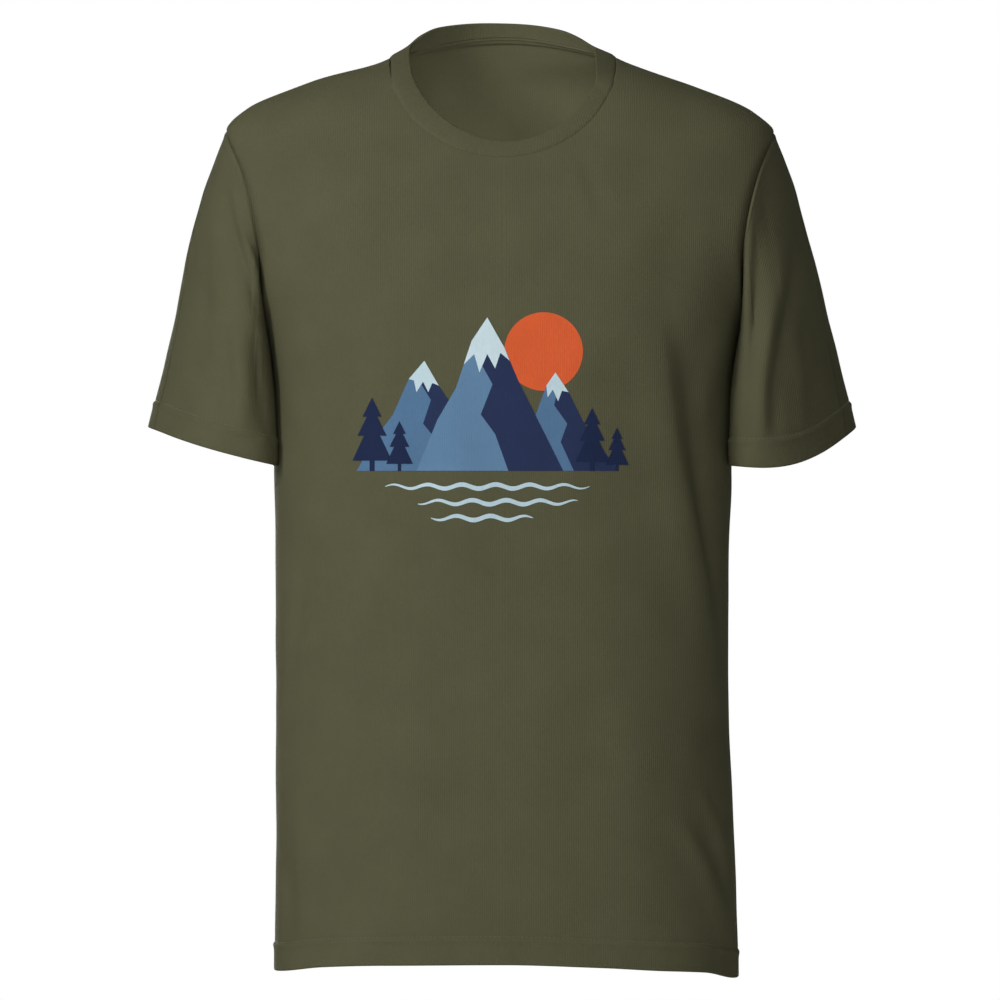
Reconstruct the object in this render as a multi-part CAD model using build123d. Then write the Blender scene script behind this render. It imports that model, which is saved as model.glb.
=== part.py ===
from build123d import *
import os
from math import copysign, cos, pi, sin

# Short-sleeved crew-neck T-shirt in the shape it takes when worn, in millimetres.
# The origin is midway between the high shoulder points, where the shoulder seams meet the neck seam.
# +Z is up, the front faces -Y and the wearer's left side is at +X. Drops are measured down from the origin.

# Cloth
cloth = 1.2  # thickness of one layer of jersey
rib_proud = 0.7  # how far the doubled rib of the neckband stands out past the jersey

# Body: half widths, and depths in front of and behind the plane of the side seams.
# A squareness of 2 is an ellipse, and a higher one is squarer.
neck_half_width = 88.5
neck_front = 37
neck_back = 68
neck_squareness = 2
mid_shoulder_drop = 27
mid_shoulder_half_width = 150
mid_shoulder_front = 52
mid_shoulder_back = 80
mid_shoulder_squareness = 2.15
shoulder_drop = 58
shoulder_half_width = 213
shoulder_front = 69
shoulder_back = 92
shoulder_squareness = 2.6
blade_drop = 100
blade_half_width = 211
blade_front = 97
blade_back = 107
blade_squareness = 2.8
underarm_drop = 222
underarm_half_width = 183
underarm_front = 124
underarm_back = 114
underarm_squareness = 2.6
chest_drop = 262
chest_half_width = 179
chest_front = 125
chest_back = 112
waist_drop = 480
waist_half_width = 176.5
waist_front = 117
waist_back = 103
hem_drop = 709
hem_half_width = 180
hem_front = 119
hem_back = 108
trunk_squareness = 2.5  # from the chest down

# Neck
neck_seam_front_drop = 78
neck_seam_back_rise = 13
opening_half_width = 73
opening_front_drop = 65
opening_back_half_width = 80
opening_back_rise = 28
opening_rise = 3  # height above the origin at which the opening is widest
neck_top_rise = 36
neck_top_half_width = 53
neck_top_front = 26
neck_top_back = 50
tape_width = 5

# Sleeve: its outer edge stands out past the shoulder point, at drops taken on that edge
sleeve_top_drop = 52
sleeve_top_inset = 13
sleeve_top_depth = 12
sleeve_crown_drop = 66
sleeve_crown_out = 6
sleeve_crown_depth = 31
sleeve_cap_drop = 95
sleeve_cap_out = 16.5
sleeve_cap_depth = 45
sleeve_mid_drop = 155
sleeve_mid_out = 32
sleeve_mid_depth = 63
sleeve_end_drop = 287
sleeve_end_out = 62
sleeve_end_depth = 66
sleeve_root_inset = 61  # how far inside the shoulder point the sleeve's inner edge starts
sleeve_root_lean = 14  # how far that edge has leant out by the middle of the sleeve
sleeve_top_tilt = 8  # how much lower a section is at its inner edge
sleeve_end_tilt = 29
sleeve_squareness = 2.2
sleeve_gap = 3  # clearance from the side of the body below the underarm
underarm_ease = 12  # how far below the underarm the sleeve hangs clear of the body

# Hems and seam allowances
bottom_hem_depth = 22
sleeve_hem_depth = 21
seam_allowance = 7

# Fineness of the lofts
points_per_section = 24
section_spacing = 30


def signed_power(value, power):
    return copysign(abs(value) ** power, value)


def smooth(stations, place):
    # Value at a place between stations of (place, value), with no overshoot between them.
    slopes = [(w - v) / (q - p) for (p, v), (q, w) in zip(stations, stations[1:])]
    tangents = [slopes[0]]
    for s, t in zip(slopes, slopes[1:]):
        tangents.append(2 * s * t / (s + t) if s * t > 0 else 0)
    tangents.append(slopes[-1])
    i = sum(place > q for q, w in stations[1:-1])
    (p, v), (q, w) = stations[i], stations[i + 1]
    u = (place - p) / (q - p)
    rise = v * (1 + 2 * u) * (1 - u) ** 2 + w * u * u * (3 - 2 * u)
    bend = tangents[i] * u * (1 - u) ** 2 - tangents[i + 1] * u * u * (1 - u)
    return rise + bend * (q - p)


def spread(places):
    # The given places with evenly spaced ones added between them.
    filled = []
    for start, end in zip(places, places[1:]):
        steps = max(2, round((end - start) / section_spacing))
        filled += [start + (end - start) * i / steps for i in range(steps)]
    return filled + [places[-1]]


def oval(plane, half_width, front, back, squareness):
    # Closed smooth curve with its own depth on each side.
    points = []
    for i in range(points_per_section):
        angle = 2 * pi * i / points_per_section
        depth = front if sin(angle) < 0 else back
        across = half_width * signed_power(cos(angle), 2 / squareness)
        along = depth * signed_power(sin(angle), 2 / squareness)
        points.append(plane.from_local_coords(Vector(across, along, 0)))
    knots = [i / points_per_section for i in range(points_per_section + 1)]
    return Wire(Edge.make_spline(points, periodic=True, parameters=knots))


def wall_between(outer, inner):
    # Wall between two lofts whose ends lie in the same planes.
    faces = [solid.faces().filter_by(GeomType.PLANE, reverse=True)[0] for solid in (outer, inner)]
    for end in outer.faces().filter_by(GeomType.PLANE):
        ends = inner.faces().filter_by(GeomType.PLANE)
        twin = min(ends, key=lambda face: (face.center() - end.center()).length)
        faces.append(Face(end.outer_wire(), [twin.outer_wire()]))
    return Solid(Shell(faces))


def block(x, y, z):
    # Box between (low, high) limits along each axis.
    size = [high - low for low, high in (x, y, z)]
    centre = [(high + low) / 2 for low, high in (x, y, z)]
    return Pos(*centre) * Box(*size)


# Body
body_stations = [
    (-neck_top_rise, neck_top_half_width, neck_top_front, neck_top_back, neck_squareness),
    (0, neck_half_width, neck_front, neck_back, neck_squareness),
    (
        mid_shoulder_drop,
        mid_shoulder_half_width,
        mid_shoulder_front,
        mid_shoulder_back,
        mid_shoulder_squareness,
    ),
    (shoulder_drop, shoulder_half_width, shoulder_front, shoulder_back, shoulder_squareness),
    (blade_drop, blade_half_width, blade_front, blade_back, blade_squareness),
    (underarm_drop, underarm_half_width, underarm_front, underarm_back, underarm_squareness),
    (chest_drop, chest_half_width, chest_front, chest_back, trunk_squareness),
    (waist_drop, waist_half_width, waist_front, waist_back, trunk_squareness),
    (hem_drop, hem_half_width, hem_front, hem_back, trunk_squareness),
]


def column(stations, i):
    return [(row[0], row[i]) for row in stations]


def body_solid(offset):
    # Filled body from the top of the neck to the hem, with its surface moved out by the offset.
    wires = []
    for drop in spread([row[0] for row in body_stations]):
        half_width, front, back = [smooth(column(body_stations, i), drop) + offset for i in (1, 2, 3)]
        squareness = smooth(column(body_stations, 4), drop)
        wires.append(oval(Plane.XY.offset(-drop), half_width, front, back, squareness))
    return Solid.make_loft(wires)


body_out = body_solid(0)
body_in = body_solid(-cloth)
body_wall = wall_between(body_out, body_in)
lining_wall = wall_between(body_in, body_solid(-2 * cloth))
rib_wall = wall_between(body_solid(rib_proud), body_in)

# Sleeve on the wearer's left: each section runs from an outer to an inner point seen from the front
top_reach = shoulder_half_width - sleeve_top_inset
crown_reach = shoulder_half_width + sleeve_crown_out
cap_reach = shoulder_half_width + sleeve_cap_out
mid_reach = shoulder_half_width + sleeve_mid_out
end_reach = shoulder_half_width + sleeve_end_out
root_reach = shoulder_half_width - sleeve_root_inset
sleeve_stations = [
    (sleeve_top_drop, top_reach, root_reach, sleeve_top_depth),
    (sleeve_crown_drop, crown_reach, root_reach, sleeve_crown_depth),
    (sleeve_cap_drop, cap_reach, root_reach, sleeve_cap_depth),
    (sleeve_mid_drop, mid_reach, root_reach + sleeve_root_lean, sleeve_mid_depth),
]
sleeve_tilts = [(sleeve_top_drop, sleeve_top_tilt), (sleeve_end_drop, sleeve_end_tilt)]
free_drop = underarm_drop - (sleeve_top_tilt + sleeve_end_tilt) / 2 + underarm_ease
sleeve_end = (sleeve_end_drop, end_reach, chest_half_width + sleeve_gap, sleeve_end_depth)
free_reach = smooth(column(sleeve_stations + [sleeve_end], 1), free_drop)
free_depth = smooth(column(sleeve_stations + [sleeve_end], 3), free_drop)
sleeve_stations.append((free_drop, free_reach, underarm_half_width + sleeve_gap, free_depth))
sleeve_stations.append(sleeve_end)


def sleeve_section(drop, offset):
    reach, root, depth = [smooth(column(sleeve_stations, i), drop) for i in (1, 2, 3)]
    outer = Vector(reach, 0, -drop)
    inner = Vector(root, 0, -drop - smooth(sleeve_tilts, drop))
    middle = (outer + inner) / 2
    across = outer - inner
    plane = Plane(origin=middle, x_dir=across, z_dir=across.cross(Vector(0, 1, 0)))
    half_width = across.length / 2 + offset
    return plane, oval(plane, half_width, depth + offset, depth + offset, sleeve_squareness)


def sleeve_solid(offset):
    drops = spread([row[0] for row in sleeve_stations])
    return Solid.make_loft([sleeve_section(drop, offset)[1] for drop in drops])


sleeve_out = sleeve_solid(0)
sleeve_in = sleeve_solid(-cloth)
sleeve_wall = wall_between(sleeve_out, sleeve_in)
sleeve_lining = wall_between(sleeve_in, sleeve_solid(-2 * cloth))
sleeve_grown = sleeve_solid(seam_allowance)

# Zones that the pieces are cut by
far = 2 * hem_drop
everywhere = (-far, far)
front_half = block(everywhere, (-far, 0), everywhere)
back_half = block(everywhere, (0, far), everywhere)


def oval_bar(half_width, rise, level, y):
    # Bar along Y whose section is an ellipse centred on the given level.
    bar = extrude(Plane.XZ * Ellipse(half_width, rise), amount=far, both=True)
    return (Pos(0, 0, level) * bar) & block(everywhere, y, everywhere)


def neck_zone(half_width, front_drop, back_half_width, back_rise, level):
    # Everything above a neckline that dips at the front and arches at the back.
    front = block((-half_width, half_width), (-far, 0), (level, far))
    front += oval_bar(half_width, front_drop + level, level, (-far, 0))
    back = block((-back_half_width, back_half_width), (0, far), (level, far))
    back -= oval_bar(back_half_width, back_rise - level, level, (0, far))
    return front + back


above_seam = neck_zone(neck_half_width, neck_seam_front_drop, neck_half_width, neck_seam_back_rise, 0)
above_opening = neck_zone(
    opening_half_width, opening_front_drop, opening_back_half_width, opening_back_rise, opening_rise
)
hem_top = -hem_drop + bottom_hem_depth
underarm_level = -underarm_drop - seam_allowance
sleeve_end_plane = sleeve_section(sleeve_end_drop, 0)[0]
sleeve_hem_zone = sleeve_end_plane.location * Box(far, far, 2 * sleeve_hem_depth)

# Everything is cut on the wearer's left half, and what crosses the centre is joined to its mirror image
left_half = block((0, far), everywhere, everywhere)
half_wall = body_wall & left_half
half_lining = lining_wall & left_half
half_rib = rib_wall & left_half


def whole(half):
    return half + mirror(half, Plane.YZ)


# Body panels, neckband and what lies inside them
half_cloth = half_wall - above_seam - sleeve_in
tape_zone = Pos(0, 0, -tape_width) * above_seam
pieces = {
    "front_panel": whole(half_cloth & front_half),
    "back_panel": whole(half_cloth & back_half),
    "neckband": whole((half_rib & above_seam) - above_opening),
    "neck_tape": whole((half_lining & back_half & tape_zone) - above_seam),
    "bottom_hem": whole(half_lining & block(everywhere, everywhere, (-hem_drop, hem_top))),
}

# Sleeve, its hem and the seam allowances of one side, which are pressed towards the back
allowance = (0, seam_allowance)
armhole_zone = sleeve_grown & block(everywhere, everywhere, (underarm_level, 0))
side_zone = block(everywhere, allowance, (hem_top, underarm_level))
shoulder_zone = block((neck_half_width + tape_width, far), allowance, (-shoulder_drop, 0))
inner_zone = block((0, underarm_half_width + 2 * seam_allowance), allowance, everywhere)
one_side = {
    "sleeve": sleeve_wall - body_out,
    "sleeve_hem": sleeve_lining & sleeve_hem_zone,
    "sleeve_seam": (sleeve_lining & inner_zone) - sleeve_hem_zone - body_out,
    "armhole_seam": (half_lining & armhole_zone) - sleeve_in,
    "side_seam": half_lining & side_zone,
    "shoulder_seam": ((half_lining & shoulder_zone) - sleeve_grown).solids().sort_by(SortBy.VOLUME)[-1],
}
for name, piece in one_side.items():
    pieces[f"left_{name}"] = piece
    pieces[f"right_{name}"] = mirror(piece, Plane.YZ)

os.makedirs("parts", exist_ok=True)
for name, piece in pieces.items():
    solids = piece.solids()
    export_step(solids[0] if len(solids) == 1 else Compound(solids), f"parts/{name}.step")
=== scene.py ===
from bisect import bisect_right
from math import acos, asin, cos, pi, sin, sqrt

import bmesh
import bpy
import numpy as np
from mathutils import Matrix, Vector, noise
from mathutils.bvhtree import BVHTree
from mathutils.kdtree import KDTree


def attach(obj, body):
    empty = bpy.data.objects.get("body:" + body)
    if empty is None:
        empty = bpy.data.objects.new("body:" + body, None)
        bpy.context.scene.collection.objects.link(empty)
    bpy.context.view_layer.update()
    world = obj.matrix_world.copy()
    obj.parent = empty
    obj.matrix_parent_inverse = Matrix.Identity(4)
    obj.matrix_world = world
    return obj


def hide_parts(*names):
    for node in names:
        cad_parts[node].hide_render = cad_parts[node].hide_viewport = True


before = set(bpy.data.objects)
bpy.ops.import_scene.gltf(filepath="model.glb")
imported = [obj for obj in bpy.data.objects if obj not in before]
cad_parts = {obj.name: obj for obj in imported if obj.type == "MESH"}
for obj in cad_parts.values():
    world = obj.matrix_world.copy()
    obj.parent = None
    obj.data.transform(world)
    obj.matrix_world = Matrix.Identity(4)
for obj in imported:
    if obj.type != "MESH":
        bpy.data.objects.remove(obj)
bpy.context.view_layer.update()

# A T-shirt in the shape it takes when worn. Sizes are in millimetres until a mesh is made in metres.
# The origin is midway between the high shoulder points, the front faces -Y, the wearer's left is +X.
# Drops are measured down from the origin.
mm = 0.001

cloth = {
    "jersey": 0.9,  # thickness of one layer
    "rib": 0.9,
    "foldRadius": 1.0,  # bend of a turned-up hem
}

# Body: drop, half width, depth in front, depth behind, squareness (2 is an ellipse)
body = {
    "stations": [
        (-36, 53, 26, 50, 2.0),
        (0, 88.5, 37, 68, 2.0),
        (20.5, 150, 50, 79, 2.15),
        (41, 197, 61, 86, 2.45),
        (58, 213, 69, 92, 2.6),
        (100, 211, 88, 105, 2.9),
        (160, 196, 108, 112, 2.8),
        (222, 183, 124, 114, 2.7),
        (262, 179, 125, 112, 2.5),
        (480, 176.5, 117, 103, 2.5),
        (709, 180, 119, 108, 2.5),
    ],
    "shoulderDrop": 57,  # where the armhole starts
    "underarmDrop": 222,
    "armholeDepth": 59,
    "armholeLift": 4.5,  # the front edge of the armhole stands forward of the chest beside it
    "hemDrop": 709,
    "hemDepth": 21,
    "neckWidth": 88.5,
    "neckFrontDrop": 80.5,
    "neckBackRise": 20,
}

# How the shirt hangs on the body it was worn by: how far each place is lower than in its plain form
hang = {
    "hem": [(-182, 0), (-174, -1.5), (-140, -7), (-95, -9.3), (0, -10.4), (75, -7.8), (115, -5), (153, -2.2),
            (175, 4), (184, 6)],
    "hemStart": 470,
    "shoulder": 1.6,  # wearer's right shoulder higher, left lower
    "shift": 2.2,  # of the shoulder points to the wearer's right
    "flare": 2.6,
    "waist": 1.6,  # how far the left side is drawn in above the hem
    "behind": 0.4,  # how much less the hem's back follows its line
}


def smooth(stations, place, column):
    # Value at a place between stations, with no overshoot between them.
    points = [(row[0], row[column]) for row in stations]
    slopes = [(w - v) / (q - p) for (p, v), (q, w) in zip(points, points[1:])]
    tangents = [slopes[0]]
    for s, t in zip(slopes, slopes[1:]):
        tangents.append(2 * s * t / (s + t) if s * t > 0 else 0)
    tangents.append(slopes[-1])
    i = sum(place > q for q, w in points[1:-1])
    (p, v), (q, w) = points[i], points[i + 1]
    u = (place - p) / (q - p)
    rise = v * (1 + 2 * u) * (1 - u) ** 2 + w * u * u * (3 - 2 * u)
    bend = tangents[i] * u * (1 - u) ** 2 - tangents[i + 1] * u * u * (1 - u)
    return rise + bend * (q - p)


def ease(value):
    # 0 below 0, 1 above 1 and a smooth step between them.
    value = min(max(value, 0), 1)
    return value * value * (3 - 2 * value)


def rise(value, start, end):
    # 0 at start, 1 at end and a smooth step between them.
    return ease((value - start) / (end - start))


def signedPower(value, power):
    return (abs(value) ** power) * (1 if value >= 0 else -1)


# One row of the body's sizes for each millimetre of drop, and its arc lengths
firstLevel = -40
levels = [
    [smooth(body["stations"], drop, column) for column in (1, 2, 3, 4)] for drop in range(firstLevel, 731)
]
arcSteps = 48
arcTables = {}


def levelAt(drop):
    place = min(max(drop - firstLevel, 0), len(levels) - 1.001)
    i = int(place)
    part = place - i
    return [a + (b - a) * part for a, b in zip(levels[i], levels[i + 1])]


def arcTable(side, i):
    # Lengths from the middle of the front or back to the side seam, at evenly spaced angles.
    if (side, i) not in arcTables:
        halfWidth, front, back, squareness = levels[i]
        depth = front if side < 0 else back
        lengths, last = [0.0], (0.0, depth)
        for step in range(1, arcSteps + 1):
            angle = pi / 2 * step / arcSteps
            power = 2 / squareness
            here = (halfWidth * sin(angle) ** power, depth * max(cos(angle), 0) ** power)
            lengths.append(lengths[-1] + sqrt((here[0] - last[0]) ** 2 + (here[1] - last[1]) ** 2))
            last = here
        arcTables[side, i] = lengths
    return arcTables[side, i]


def arcLength(side, drop):
    return arcTable(side, int(min(max(drop - firstLevel, 0), len(levels) - 1)))[-1]


def tableAngle(lengths, fraction):
    wanted = min(max(fraction, 0), 1) * lengths[-1]
    i = min(bisect_right(lengths, wanted), arcSteps) - 1
    part = (wanted - lengths[i]) / max(lengths[i + 1] - lengths[i], 1e-9)
    return pi / 2 * min(i + part, arcSteps) / arcSteps


def angleAt(side, fraction, drop):
    place = min(max(drop - firstLevel, 0), len(levels) - 1.001)
    i = int(place)
    low = tableAngle(arcTable(side, i), abs(fraction))
    high = tableAngle(arcTable(side, i + 1), abs(fraction))
    return low + (high - low) * (place - i)


def fractionAt(side, angle, drop):
    lengths = arcTable(side, int(min(max(drop - firstLevel, 0), len(levels) - 1)))
    place = min(max(angle, 0) / (pi / 2), 1) * arcSteps
    i = min(int(place), arcSteps - 1)
    return (lengths[i] + (lengths[i + 1] - lengths[i]) * (place - i)) / lengths[-1]


def bodyPoint(side, fraction, drop):
    # Point and outward direction on the body. side is -1 in front and 1 behind; fraction runs from -1
    # on the wearer's right side seam over 0 in the middle to 1 on the left side seam.
    halfWidth, front, back, squareness = levelAt(drop)
    above, below = levelAt(drop - 1), levelAt(drop + 1)
    column = 1 if side < 0 else 2
    depth = front if side < 0 else back
    angle = angleAt(side, fraction, drop)
    x = halfWidth * signedPower(sin(angle), 2 / squareness) * (1 if fraction >= 0 else -1)
    y = side * depth * max(cos(angle), 0) ** (2 / squareness)
    across = abs(x / halfWidth) ** squareness
    along = abs(y / depth) ** squareness
    widening = (below[0] - above[0]) / 2
    deepening = (below[column] - above[column]) / 2
    normal = Vector((
        signedPower(x / halfWidth, squareness - 1) / halfWidth,
        signedPower(y / depth, squareness - 1) / depth,
        across * widening / halfWidth + along * deepening / depth,
    ))
    return Vector((x, y, -drop)), normal.normalized()


def angleOfDepth(side, depth, drop):
    # Angle at which the body's surface is that far in front of or behind the side seams.
    level = levelAt(drop)
    share = min(depth / (level[1] if side < 0 else level[2]), 1)
    return acos(min(share ** (level[3] / 2), 1))


def angleOfWidth(width, drop):
    level = levelAt(drop)
    share = min(abs(width) / level[0], 1)
    return pi / 2 - acos(min(share ** (level[3] / 2), 1))


def armhole(side, turn):
    # Place on the armhole as (fraction, drop). turn runs from 0 at the shoulder to pi at the underarm.
    middle = (body["shoulderDrop"] + body["underarmDrop"]) / 2
    half = (body["underarmDrop"] - body["shoulderDrop"]) / 2
    drop = middle - half * cos(turn)
    depth = body["armholeDepth"] * max(sin(turn), 0) ** (1.1 + 0.35 * cos(turn) ** 2)
    return fractionAt(side, angleOfDepth(side, depth, drop), drop), drop


def armholeLift(drop):
    middle = (body["shoulderDrop"] + body["underarmDrop"]) / 2
    half = (body["underarmDrop"] - body["shoulderDrop"]) / 2
    return body["armholeLift"] * np.clip(1 - ((drop - middle) / half) ** 2, 0, 1)


def neckSeam(side, turn):
    # Place on the neck seam as (fraction, drop). turn runs from 0 in the middle to pi / 2 at the shoulder.
    if side > 0:
        return turn / (pi / 2), -body["neckBackRise"] * cos(turn)
    drop = cos(turn) * body["neckFrontDrop"]
    width = body["neckWidth"] * sin(turn)
    return fractionAt(side, angleOfWidth(width, drop), drop), drop


# Panels: the edge of each half runs down the shoulder, round the armhole and down the side
shoulderPart, armholePart = 0.17, 0.42


def panelEdge(side, part):
    # Place on that edge as (fraction, drop), for a part from 0 at the neck to 1 at the hem.
    if part <= shoulderPart:
        return 1.0, body["shoulderDrop"] * (part / shoulderPart) ** 1.05
    if part <= armholePart:
        return armhole(side, pi * (part - shoulderPart) / (armholePart - shoulderPart))
    share = (part - armholePart) / (1 - armholePart)
    return 1.0, body["underarmDrop"] + (body["hemDrop"] - body["underarmDrop"]) * share


evenRows = [
    (0, 0),
    (shoulderPart, body["shoulderDrop"] + 6),
    (armholePart, body["underarmDrop"] - 6),
    (1, body["hemDrop"]),
]


def panelSpot(side, across, part):
    # Place on a panel as (fraction, drop), for across from -1 to 1 and part from 0 to 1.
    topFraction, topDrop = neckSeam(side, abs(across) * pi / 2)
    edgeFraction, edgeDrop = panelEdge(side, part)
    hold = 1 - ease(part / 0.9)
    sign = 1 if across >= 0 else -1
    fraction = hold * topFraction + (1 - hold) * abs(across) + (edgeFraction - 1) * abs(across)
    evenDrop = smooth(evenRows, part, 1)
    return sign * fraction, hold * topDrop + evenDrop + (edgeDrop - evenDrop) * abs(across) ** 4


def graded(length, fine, coarse, bothEnds=True):
    # Places from 0 to 1 whose spacing grows from fine to coarse away from the start, or from both ends.
    reach = length / 2 if bothEnds else length
    places, step = [0.0], fine
    while places[-1] < reach:
        places.append(places[-1] + step)
        step = min(step * 1.22, coarse)
    places = [place / places[-1] for place in places]
    if bothEnds:
        places = [place / 2 for place in places] + [1 - place / 2 for place in reversed(places[:-1])]
    return places


# Folds in the view from the front: the (x, z) points of a line, how far the cloth stands out along it,
# and how far that reaches on the left and on the right of the line as it is drawn downwards.
frontFolds = [
    ([(120, -205), (124, -250), (130, -300), (139, -345), (150, -388), (158, -440), (166, -520)], 6, 20, 8),
    ([(138, -222), (143, -262), (150, -318), (158, -372), (167, -425), (173, -490)], -4.5, 7, 8),
    ([(166, -560), (168, -600), (172, -640), (176, -690)], 2.5, 6, 6),
    ([(131, -590), (147, -615), (158, -640), (168, -668), (177, -706)], 3.5, 9, 6),
    ([(150, -566), (163, -600), (170, -640)], 2.5, 6, 5),
    ([(140, -110), (132, -150), (127, -190), (125, -240)], -2, 16, 16),
    ([(-151, -384), (-156, -420), (-161, -460), (-167, -505), (-170, -540)], -2, 5, 6),
    ([(-158, -545), (-157, -600), (-160, -640)], 1.6, 6, 6),
    ([(-100, -387), (-102, -420), (-98, -455)], 1.2, 9, 9),
    ([(-170, -625), (-167, -655), (-169, -690)], -2.4, 5, 6),
    ([(-178, -200), (-172, -230), (-163, -262), (-150, -300)], 2, 8, 10),
    ([(172, -190), (166, -222), (160, -250), (150, -290)], 2.2, 9, 8),
    ([(-88, -70), (-96, -95), (-110, -130), (-130, -170)], 1.1, 16, 16),
    ([(60, -75), (66, -95), (78, -130)], -1.2, 7, 10),
    ([(20, -420), (26, -480), (22, -560), (30, -640)], 1.5, 34, 30),
    ([(-70, -430), (-62, -500), (-66, -580), (-60, -660)], 1.4, 30, 30),
    ([(95, -450), (100, -520), (98, -600), (108, -680)], 1.6, 24, 22),
]
backFolds = [
    ([(-150, -190), (-120, -240), (-95, -310), (-80, -400)], 4, 16, 20),
    ([(150, -190), (122, -245), (98, -320), (86, -420)], 4, 20, 16),
    ([(-160, -260), (-140, -330), (-128, -420), (-124, -520)], -4, 12, 14),
    ([(160, -270), (143, -340), (132, -430), (126, -530)], -4, 14, 12),
    ([(-30, -330), (-36, -420), (-30, -530), (-42, -640)], 4, 24, 20),
    ([(38, -350), (46, -440), (40, -560), (50, -670)], 3.5, 20, 26),
    ([(4, -380), (2, -470), (8, -580), (4, -690)], -3, 16, 16),
    ([(-90, -450), (-96, -540), (-92, -630), (-104, -700)], -2.5, 14, 16),
    ([(96, -480), (102, -570), (98, -690)], 2.5, 16, 14),
    ([(-60, -28), (0, -22), (60, -28)], 1.2, 9, 12),
]


def between(a, b, c, d, t):
    # Place on a smooth line from b to c, where a comes before them and d after.
    return b + 0.5 * t * (c - a + t * (2 * a - 5 * b + 4 * c - d + t * (3 * (b - c) + d - a)))


def smoothLine(points, spacing=6):
    padded = [np.array(point, float) for point in (points[0], *points, points[-1])]
    line = []
    for a, b, c, d in zip(padded, padded[1:], padded[2:], padded[3:]):
        steps = max(2, int(np.linalg.norm(c - b) / spacing))
        line += [between(a, b, c, d, i / steps) for i in range(steps)]
    return np.array([*line, padded[-1]])


def foldHeights(spots, folds):
    # How far each (x, z) spot is raised by the folds.
    raised = np.zeros(len(spots))
    for points, height, left, right in folds:
        line = smoothLine(points)
        reach = 3 * max(left, right)
        near = np.all((spots > line.min(0) - reach) & (spots < line.max(0) + reach), axis=1)
        if not near.any():
            continue
        start, step = line[:-1], np.diff(line, axis=0)
        size = np.linalg.norm(step, axis=1)
        offset = spots[near][:, None, :] - start
        part = np.clip((offset * step).sum(2) / size ** 2, 0, 1)
        gap = offset - part[:, :, None] * step
        distance = np.linalg.norm(gap, axis=2)
        nearest = distance.argmin(1)
        row = np.arange(len(nearest))
        crossing = step[nearest, 0] * gap[row, nearest, 1] - step[nearest, 1] * gap[row, nearest, 0]
        along = (np.cumsum(size) - size)[nearest] + part[row, nearest] * size[nearest]
        along = along / size.sum()
        width = np.where(crossing < 0, left, right)
        fade = np.sin(pi * np.clip(along, 0, 1)) ** 0.6
        raised[near] += height * fade * bell(distance[row, nearest], width)
    return raised


def seamTree(place, end, steps=240):
    # Search for the nearest point of a seam. place(side, turn) gives its places, for a turn from 0 to end.
    points = []
    for side in (-1, 1):
        for i in range(steps + 1):
            point = bodyPoint(side, *place(side, end * i / steps))[0]
            points += [point, Vector((-point.x, point.y, point.z))]
    tree = KDTree(len(points))
    for i, point in enumerate(points):
        tree.insert(point, i)
    tree.balance()
    return tree


armholeTree = seamTree(armhole, pi)
neckTree = seamTree(neckSeam, pi / 2)


def bell(distance, width):
    return np.exp(-((distance / width) ** 2))


def unevenness(point, size, seed=0):
    # Soft random value from -1 to 1 that changes over the given size.
    return noise.noise(Vector((point[0] / size, point[1] / size, point[2] / size + 17.3 * seed)))


# How far seams and hems stand out or sink in
relief = {
    "seamGroove": 0.6,
    "seamRidge": 0.4,
    "sideGroove": 0.45,
    "sideRidge": 0.25,
    "neckGroove": 0.2,
    "hemRidge": 0.7,
    "hemGroove": 0.55,
    "hemStep": 0.7,  # the turned-up hem is two layers thick
    "puckers": 0.45,
    "softness": 1.1,
    "sleeveSoftness": 0.8,
}


def hemRelief(past):
    # Ridge, stitched groove and step of a hem, for a distance past its stitches.
    ridge = relief["hemRidge"] * bell(past - 2.4, 2.6) - relief["hemGroove"] * bell(past, 1.1)
    return ridge + relief["hemStep"] * (0.5 + 0.5 * np.tanh((past - 1) / 1.6))


def settle(point):
    # A worn shirt isn't the same on both sides: its hem, shoulders and side seams hang as in the photo.
    drop = -point.z
    low = rise(drop, hang["hemStart"], body["hemDrop"])
    fall = low * smooth(hang["hem"], min(max(point.x, -182), 184), 1)
    fall *= 1 - hang["behind"] * rise(point.y, 0, 60)
    outside = rise(abs(point.x), 90, 150)
    lower = hang["shoulder"] * rise(drop, -5, 15) * rise(drop, 75, 35) * outside
    fall += lower if point.x > 0 else -lower
    across = -hang["shift"] * rise(drop, 20, 50) * rise(drop, 230, 110) * outside
    across += hang["flare"] * low * rise(abs(point.x), 0, 180)
    across -= hang["waist"] * rise(drop, 330, 390) * rise(drop, 560, 480) * rise(point.x, 0, 180)
    return Vector((point.x + across, point.y, point.z - fall))


def worn(sign, spot):
    # A place that was worked out on the wearer's left, on the given side and settled.
    return settle(Vector((sign * spot.x, spot.y, spot.z)))


stitchDrop = body["hemDrop"] - body["hemDepth"]


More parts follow.
